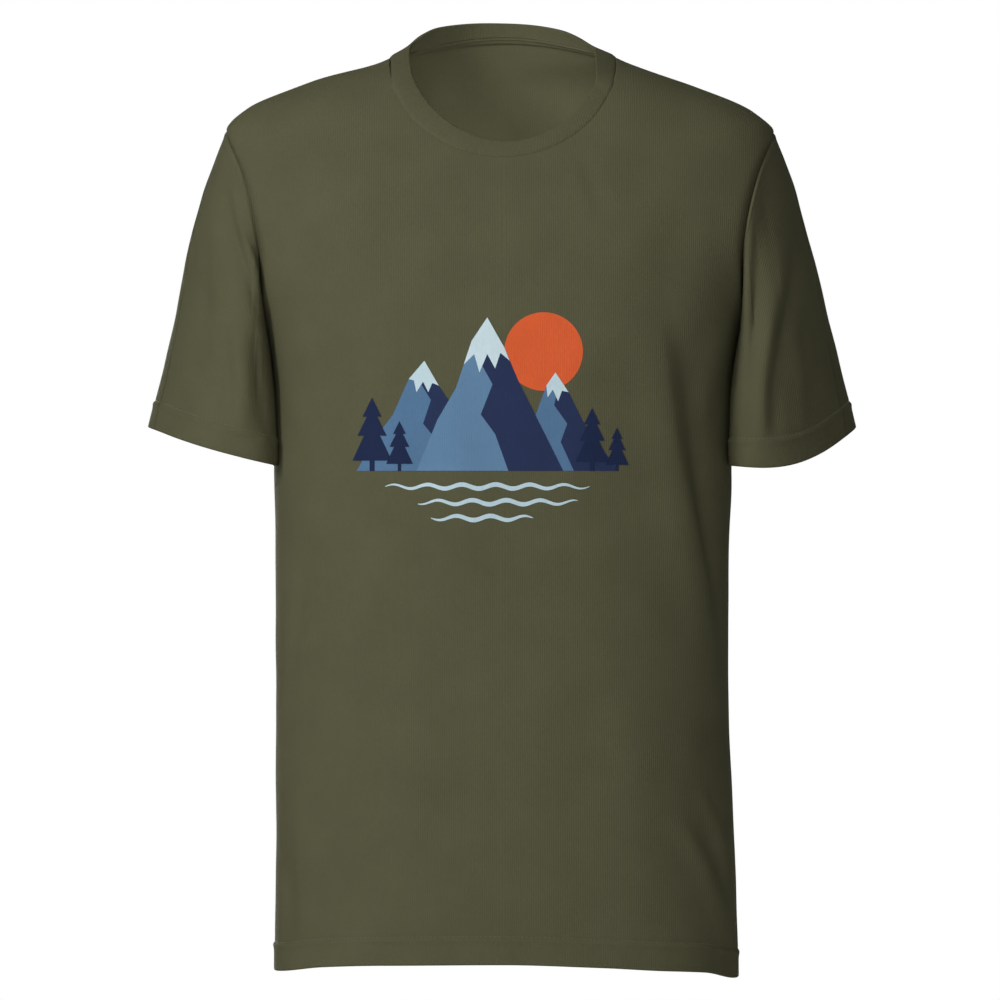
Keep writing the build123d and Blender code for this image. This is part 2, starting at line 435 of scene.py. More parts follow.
def bodyRelief(side, points):
    # How far each point of the body stands out from its smooth form.
    view = np.array([(p.x, p.z) for p in points])
    depth = np.abs([p.y for p in points])
    drop = -view[:, 1]
    facing = np.clip(depth / 30, 0, 1)
    facing = facing * facing * (3 - 2 * facing)
    raised = facing * foldHeights(view, frontFolds if side < 0 else backFolds)
    fromArmhole = np.array([armholeTree.find(p)[2] for p in points])
    fromNeck = np.array([neckTree.find(p)[2] for p in points])
    quiet = 1 - bell(fromArmhole, 6)
    soft = np.array([unevenness(p, 95) + 0.45 * unevenness(p, 38, 1) for p in points])
    raised = quiet * (raised + relief["softness"] * soft)
    if side < 0:
        raised += armholeLift(drop) * bell(fromArmhole, 16)
    raised += relief["seamRidge"] * bell(fromArmhole - 4, 2.2) - relief["seamGroove"] * bell(fromArmhole, 1.3)
    raised -= relief["neckGroove"] * bell(fromNeck, 1.6)
    raised += relief["sideRidge"] * bell(depth - 4, 2) - relief["sideGroove"] * bell(depth, 1.2)
    raised += hemRelief(drop - stitchDrop)
    pucker = np.array([unevenness((p.x, p.y, p.z * 0.25), 5.5, 2) for p in points])
    return raised + relief["puckers"] * pucker * bell(drop - stitchDrop - 2, 7)


def addPiece(name, bm):
    mesh = bpy.data.meshes.new(name)
    bm.to_mesh(mesh)
    bm.free()
    obj = bpy.data.objects.new(name, mesh)
    bpy.context.scene.collection.objects.link(obj)
    return obj


def gridMesh(name, across, down, place, flip=False, closed=False):
    # A piece of cloth made from a flat grid whose points are moved to their places.
    # place(u, v) gives a point in millimetres and the point's place on the flat cloth.
    bm = bmesh.new()
    bmesh.ops.create_grid(bm, x_segments=len(across) - 1, y_segments=len(down) - 1, size=0.5)
    flat = {}
    for vert in bm.verts:
        i = round((vert.co.x + 0.5) * (len(across) - 1))
        j = round((0.5 - vert.co.y) * (len(down) - 1))
        flat[vert] = (i, j)
    placed = place([(across[i], down[j]) for i, j in flat.values()])
    uvLayer = bm.loops.layers.uv.new("ClothMap")
    uvs = {}
    for vert, (point, uv) in zip(flat, placed):
        vert.co = point * mm
        uvs[vert] = uv
    for face in bm.faces:
        face.smooth = True
        for loop in face.loops:
            loop[uvLayer].uv = uvs[loop.vert]
    if closed:
        edge = [v for v, (i, j) in flat.items() if i in (0, len(across) - 1)]
        bmesh.ops.remove_doubles(bm, verts=edge, dist=1e-6)
    if flip:
        bmesh.ops.reverse_faces(bm, faces=bm.faces)
    return addPiece(name, bm)


def thicken(obj, thickness):
    solid = obj.modifiers.new("Thickness", "SOLIDIFY")
    solid.thickness = thickness * mm
    solid.offset = -1
    return obj


def hemTurn(run, length, depth):
    # A turned-up hem: for a run past the start of the cloth, (distance from the start, inward offset).
    radius = cloth["foldRadius"]
    bend = pi * radius
    if run <= length:
        return run, 0
    if run <= length + bend:
        angle = (run - length) / radius
        return length + radius * sin(angle), radius * (1 - cos(angle))
    return length - (run - length - bend), 2 * radius


def bodyCloth(name, side, across, down, where, flip=False):
    # A piece that follows the body. where(u, v) gives its fraction, drop, inward offset and flat place.
    def place(params):
        rows = [where(u, v) for u, v in params]
        bases = [bodyPoint(side, fraction, drop) for fraction, drop, inward, uv in rows]
        raised = bodyRelief(side, [p for p, n in bases])
        out = []
        for (point, normal), (fraction, drop, inward, uv), height in zip(bases, rows, raised):
            out.append((settle(point) + normal * (height - inward), uv))
        return out

    return gridMesh(name, across, down, place, flip)


# Panels with their turned-up hems
turnUp = body["hemDepth"] + 1
hemBend = pi * cloth["foldRadius"]
sideRun = (body["hemDrop"] - body["underarmDrop"]) / (1 - armholePart)  # mm of drop for a whole part
rowStep, columnStep = ((3.25, 3.6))
neckPart = 0.3  # rows are finer near the neck, above this part of the way down
hemPart = 1 - body["hemDepth"] / sideRun - 0.012  # and at the hem, below this part
panelRows = [place * neckPart for place in graded(neckPart * sideRun, 0.9, rowStep, bothEnds=False)]
midRows = int((hemPart - neckPart) * sideRun / rowStep)
panelRows += [neckPart + (hemPart - neckPart) * i / midRows for i in range(1, midRows + 1)]
hemRun = (1 - panelRows[-1]) * sideRun + hemBend + turnUp
hemRows = int(hemRun / 0.9)
panelRows += [panelRows[-1] + hemRun / sideRun * i / hemRows for i in range(1, hemRows + 1)]
panelColumns = [2 * place - 1 for place in graded(505, 0.8, columnStep)]


def makePanel(name, side):
    def where(across, part):
        run, inward = hemTurn(part * sideRun, sideRun, turnUp)
        fraction, drop = panelSpot(side, across, min(run / sideRun, 1))
        drop += max(run - sideRun, 0)
        return fraction, drop, inward, (fraction * arcLength(side, drop), -drop)

    panel = bodyCloth(name, side, panelColumns, panelRows, where, flip=side > 0)
    return thicken(panel, cloth["jersey"])


frontPanel = makePanel("frontPanel", -1)
print("front panel", len(frontPanel.data.vertices))
backPanel = makePanel("backPanel", 1)
print("back panel", len(backPanel.data.vertices))

# Sleeves. turn runs round the sleeve from the shoulder over the front to the underarm and back.
sleeve = {
    "outer": (276, -287),  # ends of the cuff in the view from the front
    "inner": (174, -317),
    "depth": 66,
    "lean": {1: 0.44, -1: 0.35},  # how far the cuff is slanted, front inwards, by side
    "hug": 6,  # how far the inner wall is pulled in against the body
    "squareness": {1: 2.0, -1: 2.2},
    "hemDepth": 21,
    "crown": [(0, 0), (0.03, 1.2), (0.1, 3.6), (0.235, 6.2), (0.37, 6.2), (0.5, 4.8), (0.64, 2.8),
              (0.77, 1.4), (1, 0)],
    "fullness": 5,
    "clearance": -0.4,  # from the body where the sleeve touches it
    "parting": 7,  # width over which it comes clear of the body
    "flatRadius": 62,  # mm of flat cloth to a radian round the sleeve
    "tuck": 5,  # allowance hidden under the edge of the panel
    "frontFall": {1: 14, -1: 2.5},  # how far the front of the cuff hangs below a straight line, by side
}


def armholeSpot(turn):
    # Side, fraction and drop on the armhole, for a turn that runs on over the back to 2 pi.
    side = -1 if turn <= pi else 1
    return side, *armhole(side, min(turn, 2 * pi - turn))


def armholePoint(turn):
    return bodyPoint(*armholeSpot(turn))[0]


def cuffPoint(turn, sign):
    (outerX, outerZ), (innerX, innerZ) = sleeve["outer"], sleeve["inner"]
    middle, half = (outerX + innerX) / 2, (outerX - innerX) / 2
    lean = sleeve["lean"][sign] * sleeve["depth"]
    width = sqrt(half ** 2 - lean ** 2)
    power = 2 / sleeve["squareness"][sign]
    y = -sleeve["depth"] * signedPower(sin(turn), power)
    x = width * signedPower(cos(turn), power) + lean * y / sleeve["depth"]
    z = (outerZ + innerZ) / 2 + x / half * (outerZ - innerZ) / 2
    return Vector((middle + x, y, z))


def tuckPoint(turn):
    side, fraction, drop = armholeSpot(turn)
    return bodyPoint(side, fraction - sleeve["tuck"] / arcLength(side, drop), drop)


def seamNormal(turn):
    return bodyPoint(*armholeSpot(turn))[1]


def sleevePoint(turn, along, sign):
    start, end = armholePoint(turn), cuffPoint(turn, sign)
    if turn <= pi:
        start = start + seamNormal(turn) * float(armholeLift(-start.z))
    point = start.lerp(end, along)
    lean = sleeve["lean"][sign] * sleeve["depth"]
    half = (sleeve["outer"][0] - sleeve["inner"][0]) / 2
    seen = turn + asin(lean / half)  # 0 at the outer edge in the view from the front, pi at the inner
    seen = seen if seen < 2 * pi else seen - 2 * pi
    across = (1 - cos(seen)) / 2
    fall = sleeve["frontFall"][sign] * max(sin(seen), 0) ** 0.5 * sin(pi * across ** 0.9) ** 0.8
    point.z -= fall * ease(along / 1.2) / ease(1 / 1.2)
    place = min(max(along, 0), 1)
    crown = smooth(sleeve["crown"], place, 1) * max(cos(seen), 0) ** 0.8
    fullness = sleeve["fullness"] * sin(pi * place) ** 0.7 * sin(turn) ** 2
    point += Vector((crown + cos(turn) * fullness, -sin(turn) * fullness, 0.2 * crown))
    point.x -= sleeve["hug"] * sin(pi * place) ** 0.5 * max(-cos(turn), 0) ** 2
    # Kept outside the body
    halfWidth, front, back, squareness = levelAt(-point.z)
    share = min(abs(point.y) / (front if point.y < 0 else back), 0.999)
    ramp = ease(along / 0.12)
    limit = halfWidth * (1 - share ** squareness) ** (1 / squareness) + sleeve["clearance"] * ramp
    parting = sleeve["parting"] * ramp + 0.001
    mix = min(max(0.5 + 0.5 * (limit - point.x) / parting, 0), 1)
    point.x += (limit - point.x) * mix + parting * mix * (1 - mix) * ramp
    return point


def sleeveNormal(turn, along, sign):
    step = 0.004
    ahead = sleevePoint(turn + step, along, sign) - sleevePoint(turn - step, along, sign)
    down = sleevePoint(turn, min(along + step, 1), sign) - sleevePoint(turn, max(along - step, 0), sign)
    return seamNormal(turn).lerp(ahead.cross(down).normalized(), ease(along / 0.06)).normalized()


# Folds of the sleeves in the view from the front, as (x, z)
rightSleeveFolds = [
    ([(-216, -86), (-212, -112), (-205, -142), (-197, -168), (-187, -192), (-179, -216)], -3.6, 8, 3.5),
    ([(-208, -100), (-201, -126), (-192, -152), (-186, -176), (-180, -196)], 2.2, 3, 3.5),
    ([(-206, -112), (-195, -140), (-187, -160), (-183, -180)], -2, 3, 3),
    ([(-230, -110), (-231, -165), (-229, -240)], -2, 7, 5),
    ([(-222, -130), (-220, -175), (-219, -225)], 1.4, 5, 7),
    ([(-216, -208), (-213, -258), (-217, -290)], -3, 7, 5),
    ([(-190, -205), (-185, -256), (-182, -298)], -3.4, 8, 5),
    ([(-250, -190), (-256, -235), (-262, -275)], 1.8, 9, 8),
    ([(-203, -215), (-200, -260), (-203, -296)], 2.4, 6, 7),
]
leftSleeveFolds = [
    ([(222, -138), (214, -176), (204, -214), (198, -252), (198, -300)], 6, 9, 7),
    ([(230, -140), (226, -172), (218, -214), (210, -262), (208, -296)], -4, 5, 7),
    ([(210, -84), (206, -112), (200, -150), (196, -200), (192, -260), (190, -306)], -4.5, 7, 9),
    ([(224, -205), (230, -246), (232, -292)], 2.2, 5, 5),
    ([(233, -228), (240, -206), (248, -236), (238, -264)], -2.4, 6, 6),
    ([(236, -150), (246, -200), (256, -262)], 2.4, 6, 7),
]


def makeSleeve(name, sign, folds):
    turns = [2 * pi * place + pi for place in graded(400, 1.2, columnStep)]
    steps = 84
    outerRows = graded(1000, 1000 / steps / 4, 1000 / steps, bothEnds=False)
    hemSteps = [(sleeve["hemDepth"] * 2 + 1 + hemBend) * i / 46 for i in range(1, 47)]
    rows = [("tuck", 0)] + [("body", place) for place in outerRows] + [("hem", run) for run in hemSteps]

    def place(params):
        base, normals, offsets, flat, fromSeam, fromStitch = [], [], [], [], [], []
        for turn, row in params:
            turn = turn % (2 * pi)
            kind, amount = rows[int(row)]
            length = (cuffPoint(turn, sign) - armholePoint(turn)).length
            hemStart = 1 - sleeve["hemDepth"] / length
            if kind == "tuck":
                point, normal = tuckPoint(turn)
                base.append(point)
                normals.append(normal)
                offsets.append(2.2 - (float(armholeLift(-point.z)) if turn <= pi else 0))
                fromSeam.append(-sleeve["tuck"])
                fromStitch.append(-hemStart * length)
                flat.append((turn * sleeve["flatRadius"], sleeve["tuck"]))
                continue
            if kind == "body":
                along, inward = amount * hemStart, 0
                run = along * length
            else:
                run, inward = hemTurn(hemStart * length + amount, length, turnUp)
                along = run / length
                run = hemStart * length + amount
            point = sleevePoint(turn, min(along, 1), sign)
            base.append(point + Vector((0, 0, -max(along - 1, 0) * length)))
            normals.append(sleeveNormal(turn, min(along, 1), sign))
            offsets.append(inward)
            fromSeam.append(along * length)
            fromStitch.append((along - hemStart) * length)
            flat.append((turn * sleeve["flatRadius"], -run))
        view = np.array([(sign * p.x, p.z) for p in base])
        fromSeam, fromStitch = np.array(fromSeam), np.array(fromStitch)
        front = np.clip(np.array([-n.y for n in normals]) * 1.6 - 0.4, 0, 1)
        raised = front * foldHeights(view, folds) * (1 - bell(fromSeam, 5))
        soft = [unevenness((sign * p.x, p.y, p.z), 60, 3) + 0.5 * unevenness(p, 26, 4) for p in base]
        raised += relief["sleeveSoftness"] * np.array(soft) * (1 - bell(fromSeam, 12))
        raised += relief["seamRidge"] * bell(fromSeam - 3.5, 2) - relief["seamGroove"] * bell(fromSeam, 1.3)
        raised += hemRelief(fromStitch)
        pucker = np.array([unevenness((p.x, p.y, p.z * 0.3), 5.5, 5) for p in base])
        raised += relief["puckers"] * pucker * bell(fromStitch - 2, 6)
        out = []
        for point, normal, inward, height, uv in zip(base, normals, offsets, raised, flat):
            out.append((worn(sign, point + normal * (height - inward)), uv))
        return out

    obj = gridMesh(name, turns, list(range(len(rows))), place, flip=sign > 0, closed=True)
    return thicken(obj, cloth["jersey"])


leftSleeve = makeSleeve("leftSleeve", 1, leftSleeveFolds)
rightSleeve = makeSleeve("rightSleeve", -1, rightSleeveFolds)
print("sleeves", len(leftSleeve.data.vertices))

# Neckband: a folded strip of rib from the neck seam to the edge of the opening
neckband = {
    # edge of the opening in the view from the front, from the wearer's right over the front to the left
    "front": [(-72.6, -8), (-68.6, -22.4), (-58.4, -38.9), (-44.5, -52), (-29, -61.5), (-12.5, -67.3),
              (4.5, -68.9), (21.3, -66.2), (37.8, -59.2), (52.3, -49.3), (63.8, -37.3), (71.1, -24.2),
              (73, -12)],
    "leftSide": (72.2, 0, 5.5),
    "back": [(66.5, 13), (57, 19), (45, 24), (24, 28.2), (0, 29.8), (-26, 29.2), (-50, 25.4), (-62, 20),
             (-70, 13.8)],
    "rightSide": (-73.5, 0, 6.5),
    "width": 18,
    "crown": 0.5,
    "proud": 0.15,
    "inward": 2.2,  # of the inner layer
}


def ringSpline(points, count):
    # Evenly spaced points on a closed smooth line through the given ones, and its length.
    dense = []
    total = len(points)
    for i in range(total):
        corners = [points[(i + k) % total] for k in (-1, 0, 1, 2)]
        dense += [between(*corners, step / 12) for step in range(12)]
    lengths = [0.0]
    for a, b in zip(dense, dense[1:] + dense[:1]):
        lengths.append(lengths[-1] + (b - a).length)
    dense.append(dense[0])
    out = []
    for i in range(count):
        wanted = lengths[-1] * i / count
        k = min(bisect_right(lengths, wanted), len(lengths) - 1) - 1
        part = (wanted - lengths[k]) / (lengths[k + 1] - lengths[k])
        out.append(dense[k].lerp(dense[k + 1], part))
    return out, lengths[-1]


def onBody(side, x, z):
    fraction = fractionAt(side, angleOfWidth(x, -z), -z)
    return bodyPoint(side, fraction if x >= 0 else -fraction, -z)[0]


openingPoints = [onBody(-1, x, z) for x, z in neckband["front"][6:]]
openingPoints.append(Vector(neckband["leftSide"]))
openingPoints += [onBody(1, x, z) for x, z in neckband["back"]]
openingPoints.append(Vector(neckband["rightSide"]))
openingPoints += [onBody(-1, x, z) for x, z in neckband["front"][:6]]
seamPoints = []
for side, first, last in ((-1, 0, 1), (1, 1, 0), (1, 0, -1), (-1, -1, 0)):
    for i in range(7):
        place = first + (last - first) * i / 7
        fraction, drop = neckSeam(side, abs(place) * pi / 2)
        seamPoints.append(bodyPoint(side, fraction if place >= 0 else -fraction, drop)[0])


def makeNeckband():
    count = 320
    seamRing = ringSpline(seamPoints, count)[0]
    openRing, openLength = ringSpline(openingPoints, count)
    width = neckband["width"]
    # Each row's place across the band, height above the body and place on the flat cloth, with the first
    # two under the panels
    strip = [(-0.17, -2.4, -3.2), (-0.1, -1.9, -1.8)]
    for i in range(17):
        w = i / 16
        height = neckband["proud"] + neckband["crown"] * sin(pi * (0.06 + 0.88 * w)) ** 0.7
        strip.append((w, height - 0.6 * bell(w * width, 1.3), w * width))
    edge = strip[-1][1]
    outer = len(strip) - 1
    for i in range(1, 8):
        angle = pi * i / 8
        strip.append((1 + 0.07 * sin(angle), edge - 1.1 * (1 - cos(angle)), width + i * 0.45))
    for i in range(17):
        height = strip[outer - i][1] * 0.4 + edge * 0.6 - neckband["inward"]
        strip.append((1 - i / 16, height, width + 4 + i * width / 16))

    def place(params):
        out = []
        for around, j in params:
            k = int(around) % count
            low, high = seamRing[k], openRing[k]
            next_ = seamRing[(k + 1) % count].lerp(openRing[(k + 1) % count], 0.5)
            last = seamRing[k - 1].lerp(openRing[k - 1], 0.5)
            w, height, flat = strip[int(j)]
            normal = (next_ - last).cross(high - low).normalized()
            out.append((low.lerp(high, w) + normal * height, (around / count * openLength, -flat)))
        return out

    rows = list(range(len(strip)))
    obj = gridMesh("ribNeckband", list(range(count + 1)), rows, place, flip=True, closed=True)
    return thicken(obj, cloth["rib"])


neckbandPiece = makeNeckband()
print("neckband", len(neckbandPiece.data.vertices))


# Pieces inside the shirt that show through its openings: widths, and depths below the body's form
allowance = {"width": 7, "seamDepth": 1.5, "depth": 3.4, "sleeveDepth": 1.7}
tape = {"width": 4.6, "depth": 2.2}


def makeStrip(name, firstSpot, count, width=allowance["width"], inward=allowance["seamDepth"], rows=5):
    # A narrow strip along a seam of the back. firstSpot(t) gives (fraction, drop) and the direction across
    # as (change of arc, change of drop).
    def where(t, w):
        (fraction, drop), (acrossArc, acrossDrop) = firstSpot(t)
        fraction += acrossArc * w * width / arcLength(1, drop)
        return fraction, drop + acrossDrop * w * width, inward, (t * 400, w * width)

    steps = [i / count for i in range(count + 1)]
    obj = bodyCloth(name, 1, steps, [i / rows for i in range(rows + 1)], where)
    return thicken(obj, cloth["jersey"])


def sideSpot(sign):
    start, end = body["underarmDrop"] + 8, stitchDrop - 1
    return lambda t: ((sign, start + (end - start) * t), (-sign, 0))


def shoulderSpot(sign):
    return lambda t: ((sign, 3 + 50 * t), (-sign, 0))


def tapeSpot(t):
    fraction, drop = neckSeam(1, abs(2 * t - 1) * pi / 2 * 0.97)
    return (fraction if t >= 0.5 else -fraction, drop), (0, 1)


inner = {}
for label, sign in (("left", 1), ("right", -1)):
    inner[label + "_side_seam"] = makeStrip(label + "SideSeam", sideSpot(sign), 120)
    inner[label + "_shoulder_seam"] = makeStrip(label + "ShoulderSeam", shoulderSpot(sign), 60)
neckTape = makeStrip("neckTape", tapeSpot, 120, tape["width"], tape["depth"])
quarters = [i / 4 for i in range(5)]


def makeArmholeSeam(name, sign):
    def place(params):
        out = []
        for turn, w in params:
            side, fraction, drop = armholeSpot(turn)
            across = w * allowance["width"]
            point, normal = bodyPoint(side, fraction - across / arcLength(side, drop), drop)
            spot = point - normal * allowance["depth"]
            out.append((worn(sign, spot), (turn * sleeve["flatRadius"], across)))
        return out

    turns = [2 * pi * i / 160 for i in range(161)]
    return thicken(gridMesh(name, turns, quarters, place, flip=sign < 0, closed=True), cloth["jersey"])


def makeSleeveSeam(name, sign):
    def place(params):
        out = []
        for along, w in params:
            turn = pi + 0.02 + w * allowance["width"] / sleeve["flatRadius"]
            normal = sleeveNormal(turn, along, sign)
            spot = sleevePoint(turn, along, sign) - normal * allowance["sleeveDepth"]
            out.append((worn(sign, spot), (along * 95, w * allowance["width"])))
        return out

    steps = [0.06 + 0.68 * i / 24 for i in range(25)]
    return thicken(gridMesh(name, steps, quarters, place, flip=sign > 0), cloth["jersey"])


for label, sign in (("left", 1), ("right", -1)):
    inner[label + "_armhole_seam"] = makeArmholeSeam(label + "ArmholeSeam", sign)
    inner[label + "_sleeve_seam"] = makeSleeveSeam(label + "SleeveSeam", sign)
print("inner strips", len(inner))


# Print on the chest, drawn in the view from the front: a sun behind snowy peaks, pines and water
artwork = {
    "sun": (31, -231, 30),
    "farPeaks": [
        [(-112, -322), (-97, -296), (-84, -279), (-72, -252), (-60, -238), (-49, -257), (-36, -276),
         (-26, -301), (-12, -322)],
        [(14, -322), (19, -292), (25, -279), (33, -257), (40, -247), (50, -262), (62, -286), (73, -301),
         (88, -322)],
    ],
    "farShades": [
        [(-60, -238), (-49, -257), (-36, -276), (-26, -301), (-12, -322), (-46, -322), (-52, -297),
         (-61, -286), (-55, -268), (-63, -255)],
        [(40, -247), (50, -262), (62, -286), (73, -301), (88, -322), (54, -322), (44, -300), (49, -286),
         (39, -272), (42, -259)],
    ],
    "farSnow": [
        [(-60, -238), (-49, -257), (-54, -255), (-57, -262), (-61, -254), (-66, -262), (-68, -253),
         (-72, -252)],
        [(40, -247), (50, -262), (45, -261), (42, -269), (38, -260), (34, -266), (33, -257)],
    ],
    "nearPeak": [
        [(-66, -322), (-50, -283), (-36, -259), (-24, -223), (-12, -205), (1, -228), (12, -254), (27, -284),
         (46, -322)],
    ],
    "nearShade": [
        [(-12, -205), (1, -228), (12, -254), (27, -284), (46, -322), (4, -322), (-6, -294), (-17, -279),
         (-8, -256), (-18, -238), (-10, -222)],
    ],
    "nearSnow": [
        [(-12, -205), (1, -228), (5, -238), (-2, -232), (-6, -244), (-12, -233), (-18, -247), (-22, -233),
         (-30, -241), (-24, -223)],
    ],
    "pines": [(-100, -322, 56), (-79, -322, 38), (68, -322, 48), (87, -322, 33)],
    "waves": [(-12, -334, 156), (-4, -346, 122), (-16, -358, 78)],
    "waveHeight": 3.6,
    "lowest": 0.14,  # height of the first layer above the cloth, and from each layer to the next
    "step": 0.04,
    "thickness": 0.03,
    "grid": 2.5,
}
inks = {
    "sun": "#DC6238",
    "farPeaks": "#57789A",
    "farShades": "#2C3757",
    "farSnow": "#C4DAE2",
    "nearPeak": "#6385A6",
    "nearShade": "#2C3757",
    "nearSnow": "#CDE1E8",
    "pines": "#232D4A",
    "waves": "#BFD6DF",
}


def discOutline(x, z, radius):
    return [(x + radius * cos(2 * pi * i / 72), z + radius * sin(2 * pi * i / 72)) for i in range(72)]


def pineOutline(x, z, height):
    half = [(0, 1), (0.13, 0.74), (0.07, 0.74), (0.2, 0.48), (0.11, 0.48), (0.27, 0.14), (0.035, 0.14),
            (0.035, 0)]
    right = [(x + a * height, z + b * height) for a, b in half]
    return right + [(2 * x - a, b) for a, b in reversed(right[1:])]


def waveOutline(x, z, length):
    top, bottom, steps = [], [], 60
    for i in range(steps + 1):
        place = (i / steps - 0.5) * length
        thick = artwork["waveHeight"] / 2 * sin(pi * (i + 0.4) / (steps + 0.8)) ** 0.5
        middle = z + 1.6 * sin(2 * pi * place / 26)
        top.append((x + place, middle + thick))
        bottom.append((x + place, middle - thick))
    return top + bottom[::-1]


def surfaceTree(obj):
    mesh = obj.data
    return BVHTree.FromPolygons([v.co for v in mesh.vertices], [list(f.vertices) for f in mesh.polygons])


frontTree = surfaceTree(frontPanel)
backTree = surfaceTree(backPanel)


def printPiece(kind, layer, outlines):
    # Flat ink: cut into small faces so that it follows the cloth.
    bm = bmesh.new()
    for outline in outlines:
        bm.faces.new([bm.verts.new((x * mm, 0, z * mm)) for x, z in outline])
    bm.normal_update()
    bmesh.ops.triangulate(bm, faces=bm.faces)
    step = artwork["grid"] * mm
    for axis in (0, 2):
        places = [v.co[axis] for v in bm.verts]
        direction = Vector((1, 0, 0)) if axis == 0 else Vector((0, 0, 1))
        for i in range(int(min(places) / step), int(max(places) / step) + 1):
            parts = [*bm.verts, *bm.edges, *bm.faces]
            bmesh.ops.bisect_plane(bm, geom=parts, plane_co=direction * (i * step), plane_no=direction)
    uvLayer = bm.loops.layers.uv.new("ClothMap")
    for face in bm.faces:
        face.smooth = True
        for loop in face.loops:
            loop[uvLayer].uv = (loop.vert.co.x / mm, loop.vert.co.z / mm)
    for vert in bm.verts:
        start = Vector((vert.co.x, -1, vert.co.z))
        hit, normal, index, distance = frontTree.ray_cast(start, Vector((0, 1, 0)))
        vert.co = hit + normal * (artwork["lowest"] + layer * artwork["step"]) * mm
    bmesh.ops.recalc_face_normals(bm, faces=bm.faces)
    if sum(face.normal.y for face in bm.faces) > 0:
        bmesh.ops.reverse_faces(bm, faces=bm.faces)
    for edge in bm.edges:
        edge.smooth = not edge.is_boundary
    return thicken(addPiece(kind + "Ink", bm), artwork["thickness"])


drawn = {
    "sun": [discOutline(*artwork["sun"])],
    "pines": [pineOutline(*pine) for pine in artwork["pines"]],
    "waves": [waveOutline(*wave) for wave in artwork["waves"]],
}
ink = {kind: printPiece(kind, layer, drawn.get(kind) or artwork[kind]) for layer, kind in enumerate(inks)}
print("print", len(ink))

# Stitches along the hems, in thread of the same colour
stitch = {"length": 2.6, "gap": 3.5, "width": 0.55, "height": 0.3}


def stitchPiece(name, rows):
    # rows holds the cloth's surface and the points of the line that is sewn on it.
    bm = bmesh.new()
    for tree, points in rows:
        spare = 0.0
        for a, b in zip(points, points[1:]):
            run = (b - a).length / mm
            spare += run
            if spare < stitch["gap"] or run == 0:
                continue
            spare -= stitch["gap"]
            hit, normal, index, distance = tree.find_nearest(b)
            direction = (b - a).normalized()
            sideways = normal.cross(direction).normalized()
            up = direction.cross(sideways)
            turn = Matrix((direction, sideways, up)).transposed().to_4x4()
            size = Vector((stitch["length"] / 2, stitch["width"] / 2, stitch["height"])) * mm
            place = Matrix.Translation(hit + normal * 0.05 * mm) @ turn @ Matrix.Diagonal((*size, 1))
            bmesh.ops.create_icosphere(bm, subdivisions=1, radius=1, matrix=place)
    for face in bm.faces:
        face.smooth = True
    return addPiece(name, bm)


def bodyLine(side, drop):
    steps = 1400
    spots = [bodyPoint(side, 2 * i / steps - 1, drop)[0] for i in range(steps + 1)]
    return [settle(spot) * mm for spot in spots]


def cuffLine(sign):
    out = []
    for i in range(1201):
        turn = 2 * pi * i / 1200
        length = (cuffPoint(turn, sign) - armholePoint(turn)).length
        spot = sleevePoint(turn, 1 - sleeve["hemDepth"] / length, sign)
        out.append(worn(sign, spot) * mm)
    return out


hemStitches = stitchPiece("hemStitches", [
    (frontTree, bodyLine(-1, stitchDrop)),
    (backTree, bodyLine(1, stitchDrop)),
    (surfaceTree(leftSleeve), cuffLine(1)),
    (surfaceTree(rightSleeve), cuffLine(-1)),
])
print("stitches", len(hemStitches.data.polygons))

# Camera: where it stands, how far off, and the width of its view at the shirt, in metres
view = {"x": -0.0023, "z": -0.3443, "distance": 6.0, "width": 0.779}
camera = bpy.data.cameras.new("Camera")
camera.sensor_width = 36
camera.lens = camera.sensor_width * view["distance"] / view["width"]
camera.clip_end = 60
cameraObj = bpy.data.objects.new("Camera", camera)
cameraObj.location = (view["x"], -view["distance"], view["z"])
cameraObj.rotation_euler = (pi / 2, 0, 0)
bpy.context.scene.collection.objects.link(cameraObj)
bpy.context.scene.camera = cameraObj
bpy.context.scene.view_settings.view_transform = "Standard"


# Materials
def colour(text):
    # Linear colour of an sRGB hex value.
    parts = [int(text[i:i + 2], 16) / 255 for i in (1, 3, 5)]
    linear = [p / 12.92 if p <= 0.04045 else ((p + 0.055) / 1.055) ** 2.4 for p in parts]
    return (*linear, 1)


def newMaterial(name):
    material = bpy.data.materials.new(name)
    material.use_nodes = True
    return material, material.node_tree.nodes["Principled BSDF"]


def addNode(owner, kind, settings=None, inputs=None):
    # Adds a node to a material or world. An input is a value, or another node's output to link from.
    tree = owner.node_tree
    node = tree.nodes.new(kind)
    for key, value in (settings or {}).items():
        setattr(node, key, value)
    for key, value in (inputs or {}).items():
        if isinstance(value, bpy.types.NodeSocket):
            tree.links.new(value, node.inputs[key])
        else:
            node.inputs[key].default_value = value
    return node


# How far apart the knit's columns and rows of loops are, and how deep they go. They are drawn coarser than
# real jersey's, which are about as small as the picture's pixels.
knit = {"wale": 1.7, "ribWale": 2.2, "course": 1.3, "depth": 0.12, "ribDepth": 0.2, "inkDepth": 0.08}


